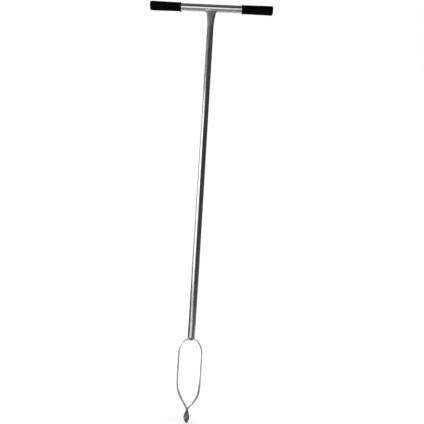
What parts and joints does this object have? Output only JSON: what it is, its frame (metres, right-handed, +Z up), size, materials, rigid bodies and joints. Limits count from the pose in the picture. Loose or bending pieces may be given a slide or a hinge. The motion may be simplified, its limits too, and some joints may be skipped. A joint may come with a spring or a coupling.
{
  "type": "hand earth auger",
  "caption": "Hand earth auger with a T handle, push-on black grips, bright steel tube shaft, open loop of strip blades and a twisted screw tip, turned by hand to bore and lift soil.",
  "frame": {"origin": "the point of the screw tip, on the turning axis, where the tool goes into the soil", "axes": "+Z up the shaft along the turning axis, +X along the crossbar to the right grip, +Y away from the camera"},
  "size_m": [0.388, 0.052, 1.2246],
  "materials": {
    "bright_steel": "bright plated steel tube, smooth and reflective, with fine lengthwise polishing lines",
    "blade_steel": "satin forged steel strip with rubbed edges",
    "weld_metal": "rippled weld bead, plated over with the rest",
    "black_grip": "matt black moulded soft plastic"
  },
  "bodies": {
    "steel_frame": {"crossbar": "bright_steel", "shaft_tube": "bright_steel", "crossbar_weld": "weld_metal", "neck_plug": "blade_steel", "neck_weld": "weld_metal", "left_blade": "blade_steel", "right_blade": "blade_steel", "left_root_weld": "weld_metal", "right_root_weld": "weld_metal", "screw_tip": "blade_steel", "tip_weld": "weld_metal"},
    "left_grip": {"left_grip": "black_grip"},
    "right_grip": {"right_grip": "black_grip"}
  },
  "joints": [
    {"name": "left_grip_pull", "type": "slide", "parent": "steel_frame", "child": "left_grip", "axis": [-1, 0, 0], "range_m": [0, 0.1]},
    {"name": "right_grip_pull", "type": "slide", "parent": "steel_frame", "child": "right_grip", "axis": [1, 0, 0], "range_m": [0, 0.1]}
  ]
}
